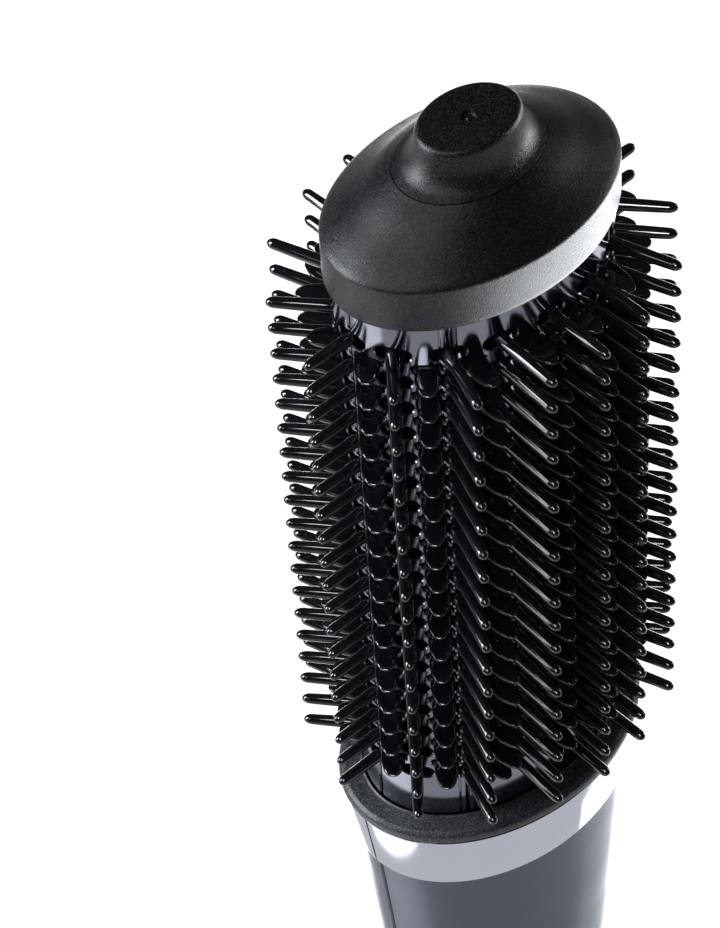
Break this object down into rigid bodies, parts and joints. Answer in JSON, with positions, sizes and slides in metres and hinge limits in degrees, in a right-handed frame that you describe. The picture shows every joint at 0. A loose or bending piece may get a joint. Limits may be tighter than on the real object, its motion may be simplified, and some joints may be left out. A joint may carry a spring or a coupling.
{
  "type": "hot air brush",
  "caption": "Oval hot air styling brush: pins and fins round a vented heated head with a domed end cap, on a tapering hand-held blower body.",
  "frame": {"origin": "on the long axis, in the middle of the hand grip", "axes": "+Z along the brush towards the cap, X along the long axis of the oval section, buttons on the -Y face"},
  "size_m": [0.0718, 0.0628, 0.3634],
  "materials": {
    "bristle_plastic": "glossy black nylon, smooth moulded",
    "head_coating": "dark metallic coated sheet, satin gloss",
    "textured_plastic": "black, fine-grained matte",
    "polished_band": "polished silver with a faint violet tint",
    "shell_paint": "satin gunmetal lacquer on plastic",
    "inner_plastic": "dark heat-resistant plastic",
    "button_plastic": "satin black",
    "plain_steel": "bright plated steel",
    "screen_mesh": "fine woven wire",
    "mica_board": "flaky golden mica",
    "heater_wire": "oxidised resistance wire",
    "lens_clear": "frosted clear",
    "board_green": "solder-resist green",
    "gland_rubber": "soft matte black"
  },
  "bodies": {
    "handle": {"bristle_strip_01": "bristle_plastic", "bristle_strip_02": "bristle_plastic", "bristle_strip_03": "bristle_plastic", "bristle_strip_04": "bristle_plastic", "bristle_strip_05": "bristle_plastic", "bristle_strip_06": "bristle_plastic", "bristle_strip_07": "bristle_plastic", "bristle_strip_08": "bristle_plastic", "bristle_strip_09": "bristle_plastic", "bristle_strip_10": "bristle_plastic", "bristle_strip_11": "bristle_plastic", "bristle_strip_12": "bristle_plastic", "bristle_strip_13": "bristle_plastic", "bristle_strip_14": "bristle_plastic", "bristle_strip_15": "bristle_plastic", "bristle_strip_16": "bristle_plastic", "head_panel_right_rear": "head_coating", "head_panel_rear": "head_coating", "head_panel_left_rear": "head_coating", "head_panel_left_front": "head_coating", "head_panel_front": "head_coating", "head_panel_right_front": "head_coating", "end_cap": "textured_plastic", "cap_tip": "textured_plastic", "collar": "textured_plastic", "trim_band": "polished_band", "shell_front": "shell_paint", "shell_rear": "shell_paint", "head_frame": "inner_plastic", "duct_ring": "inner_plastic", "motor_plate": "inner_plastic", "motor_mount": "inner_plastic", "tail_frame": "inner_plastic", "power_switch": "inner_plastic", "temperature_switch": "inner_plastic", "cool_shot_switch": "inner_plastic", "tip_screw": "plain_steel", "cap_screw_front": "plain_steel", "cap_screw_rear": "plain_steel", "shell_screw_top_left": "plain_steel", "shell_screw_top_right": "plain_steel", "shell_screw_low_left": "plain_steel", "shell_screw_low_right": "plain_steel", "motor_can": "plain_steel", "gland_clip": "plain_steel", "thermal_cutout": "plain_steel", "inlet_screen": "screen_mesh", "heater_tube": "mica_board", "heater_boards": "mica_board", "heater_coil": "heater_wire", "status_lens": "lens_clear", "circuit_board": "board_green"},
    "power_button": {"power_button": "button_plastic"},
    "temperature_button": {"temperature_button": "button_plastic"},
    "cool_shot_button": {"cool_shot_button": "button_plastic"},
    "fan": {"fan_wheel": "inner_plastic", "motor_shaft": "plain_steel", "motor_rotor": "plain_steel"},
    "filter_cover": {"filter_cover": "textured_plastic"},
    "cord_gland": {"cord_gland": "gland_rubber"}
  },
  "joints": [
    {"name": "power_button_press", "type": "slide", "parent": "handle", "child": "power_button", "axis": [0, 1, 0], "range_m": [0, 0.0012], "stiffness_N_per_m": 900},
    {"name": "temperature_button_press", "type": "slide", "parent": "handle", "child": "temperature_button", "axis": [0, 1, 0], "range_m": [0, 0.0012], "stiffness_N_per_m": 900},
    {"name": "cool_shot_button_press", "type": "slide", "parent": "handle", "child": "cool_shot_button", "axis": [0, 1, 0], "range_m": [0, 0.0012], "stiffness_N_per_m": 900},
    {"name": "fan_spin", "type": "hinge", "parent": "handle", "child": "fan", "pos_m": [0, 0, -0.057], "axis": [0, 0, 1], "continuous": true},
    {"name": "filter_cover_pull", "type": "slide", "parent": "handle", "child": "filter_cover", "axis": [0, 0, -1], "range_m": [0, 0.03]},
    {"name": "cord_gland_swivel", "type": "hinge", "parent": "handle", "child": "cord_gland", "pos_m": [0, 0, -0.09], "axis": [0, 0, 1], "continuous": true}
  ]
}
